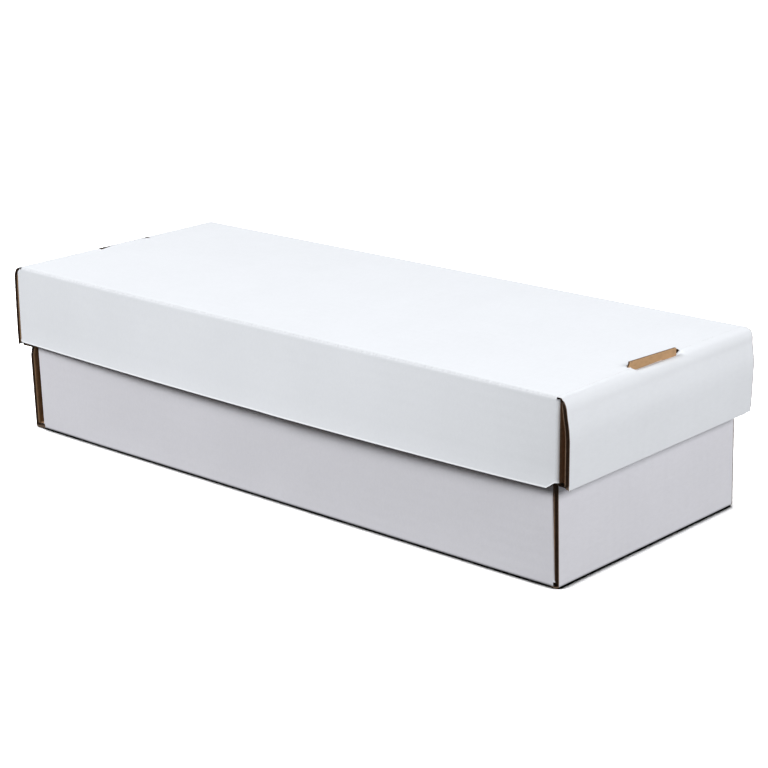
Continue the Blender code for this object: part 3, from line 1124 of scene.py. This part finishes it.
def paper_material(name, light, dark_share, cloud_scale, specks, flute_shade, roughness, bump_height):
    """A paper with clouds, fibres, specks, painted shade on creases and faint flutes."""
    dark = tuple(c * dark_share for c in light)
    material = bpy.data.materials.new(name)
    material.use_nodes = True
    tree = material.node_tree
    grain = wire(tree, "ShaderNodeGroup", {
        "Place": wire(tree, "ShaderNodeTexCoord").outputs["Object"],
        "Cloud Scale": cloud_scale, "Speck Amount": specks,
    }, node_tree=paper_grain).outputs
    blank = wire(tree, "ShaderNodeUVMap", uv_map="blank").outputs["UV"]
    ridge = wire(tree, "ShaderNodeGroup", {"Blank": blank}, node_tree=flute_show).outputs["Ridge"]
    clouds = maths(tree, "MULTIPLY", grain["Cloud"], CLOUD_SHARE)
    tone = maths(tree, "MULTIPLY_ADD", grain["Fibre"], FIBRE_SHARE, clouds)
    spread = wire(tree, "ShaderNodeMapRange", {"Value": tone, "From Min": 0.36, "From Max": 0.64})
    cloudy = mix_colours(tree, spread.outputs[0], (*dark, 1), (*light, 1))
    fold_shade_at = wire(tree, "ShaderNodeAttribute", attribute_name="crease").outputs["Fac"]
    # Painted shade on the folds, broken up by fibre noise, joins the specks and darkens the colour.
    fold_shade = maths(tree, "MULTIPLY", fold_shade_at, grain["Fibre"])
    marks = maths(tree, "MULTIPLY_ADD", fold_shade, FOLD_SHADE_SHOWS, grain["Speck"])
    shade = maths(tree, "MULTIPLY_ADD", ridge, flute_shade, marks)
    rough = wire(tree, "ShaderNodeMapRange", {
        "Value": grain["Cloud"],
        "To Min": roughness - ROUGHNESS_SPREAD, "To Max": roughness + ROUGHNESS_SPREAD,
    })
    bump = wire(tree, "ShaderNodeBump", {
        "Height": maths(tree, "MULTIPLY_ADD", ridge, RIDGE_HEIGHT, grain["Fibre"]),
        "Strength": 0.6, "Distance": bump_height,
    })
    shader = tree.nodes["Principled BSDF"].inputs
    shader["Specular IOR Level"].default_value = 0.35
    speck_colour = (*(c * SPECK_TONE for c in dark), 1)
    tree.links.new(mix_colours(tree, shade, cloudy, speck_colour), shader["Base Color"])
    tree.links.new(rough.outputs[0], shader["Roughness"])
    tree.links.new(bump.outputs["Normal"], shader["Normal"])
    return material


papers = {
    "lid_white": paper_material(
        "lid_white_paper", WHITE_LID, dark_share=0.965, cloud_scale=22, specks=0.02,
        flute_shade=0.012, roughness=0.60, bump_height=0.00006),
    "base_white": paper_material(
        "base_white_paper_shaded", WHITE_BASE_SHADED, dark_share=0.955, cloud_scale=22, specks=0.03,
        flute_shade=0.020, roughness=0.64, bump_height=0.00008),
    "kraft": paper_material(
        "kraft_paper", KRAFT_LIGHT, dark_share=0.80, cloud_scale=60, specks=0.35,
        flute_shade=0.05, roughness=0.84, bump_height=0.00010),
    "medium_and_painted_shade": paper_material(
        "flute_paper_and_painted_shade", FLUTE_BROWN_AND_PAINTED_SHADE, dark_share=0.72, cloud_scale=80, specks=0.45,
        flute_shade=0.0, roughness=0.90, bump_height=0.00012),
}
print("papers:", sorted(papers))

# %% Make the flutes
FLUTE_GRID = (5, 0.022, FLUTE_PITCH / 7)


def make_flutes(size):
    """The wavy paper of one blank, through the tree."""
    width = 2 * size["wall_half"]
    pitch = width / round(width / FLUTE_PITCH)
    sheet = shape_blank(size, *FLUTE_GRID)
    name = size["name"] + "_flutes"
    mesh = bpy.data.meshes.new(name + "_sheet")
    mesh.from_pydata(between(sheet, 0.5).tolist(), [], sheet["faces"].tolist())
    store(mesh, "outer_face", "FLOAT_VECTOR", sheet["outer"])
    store(mesh, "inner_face", "FLOAT_VECTOR", sheet["inner"])
    store(mesh, "drag", "FLOAT", sheet["drag"])
    store(mesh, "across", "FLOAT", sheet["flat"][:, 1] - size["wall_half"])
    store(mesh, "crease", "FLOAT", sheet["crease"])
    lay_blank_map(mesh, sheet["flat"])
    source = bpy.data.objects.new(name + "_sheet", mesh)
    bpy.context.scene.collection.objects.link(source)
    press = source.modifiers.new("flutes", "NODES")
    press.node_group = corrugate
    press[socket_of["Flute Pitch"]] = pitch
    press[socket_of["Wave Share"]] = 0.5 - (LINER + MEDIUM / 2) / BOARD
    press[socket_of["Paper"]] = papers["medium_and_painted_shade"]
    bpy.context.view_layer.update()
    ready = source.evaluated_get(bpy.context.evaluated_depsgraph_get())
    pressed = bpy.data.meshes.new_from_object(ready)
    pressed.name = name
    bpy.data.objects.remove(source)
    for used_up in ("outer_face", "inner_face", "drag", "across"):
        pressed.attributes.remove(pressed.attributes[used_up])
    piece = bpy.data.objects.new(name, pressed)
    bpy.context.scene.collection.objects.link(piece)
    thick = piece.modifiers.new("paper thickness", "SOLIDIFY")
    thick.thickness = MEDIUM
    thick.offset = 0
    print(name, "has", 4 * len(pressed.polygons), "triangles")
    return piece


for size in (base, lid):
    size["flutes"] = make_flutes(size)

# %% [markdown]
# ## Putting the papers on the bodies
#
# Each paper rides on the base or on the lid, so the lid lifts off with all
# three of its papers. The liners stand for all the CAD panels of their body.

# %% Materials and bodies
for size in (base, lid):
    body = size["name"]
    # Besides the flutes, the dark flute paper covers the liners' backs, their cut edges and the flap
    # outsides; on the edges and flaps it is painted shade.
    for skin in (body + "_white", "medium_and_painted_shade", "medium_and_painted_shade"):
        size["white"].data.materials.append(papers[skin])
    for skin in ("medium_and_painted_shade", "kraft", "medium_and_painted_shade"):
        size["kraft"].data.materials.append(papers[skin])
    panels_of = sorted(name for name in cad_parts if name.startswith(body + "_"))
    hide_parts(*panels_of)
    for paper, slot in (("white", "white_board"), ("kraft", "kraft_board"), ("flutes", "kraft_board")):
        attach(size[paper], body)
    print(body, "papers stand for", len(panels_of), "panels")

# %% View settings
bpy.context.scene.view_settings.view_transform = "Standard"
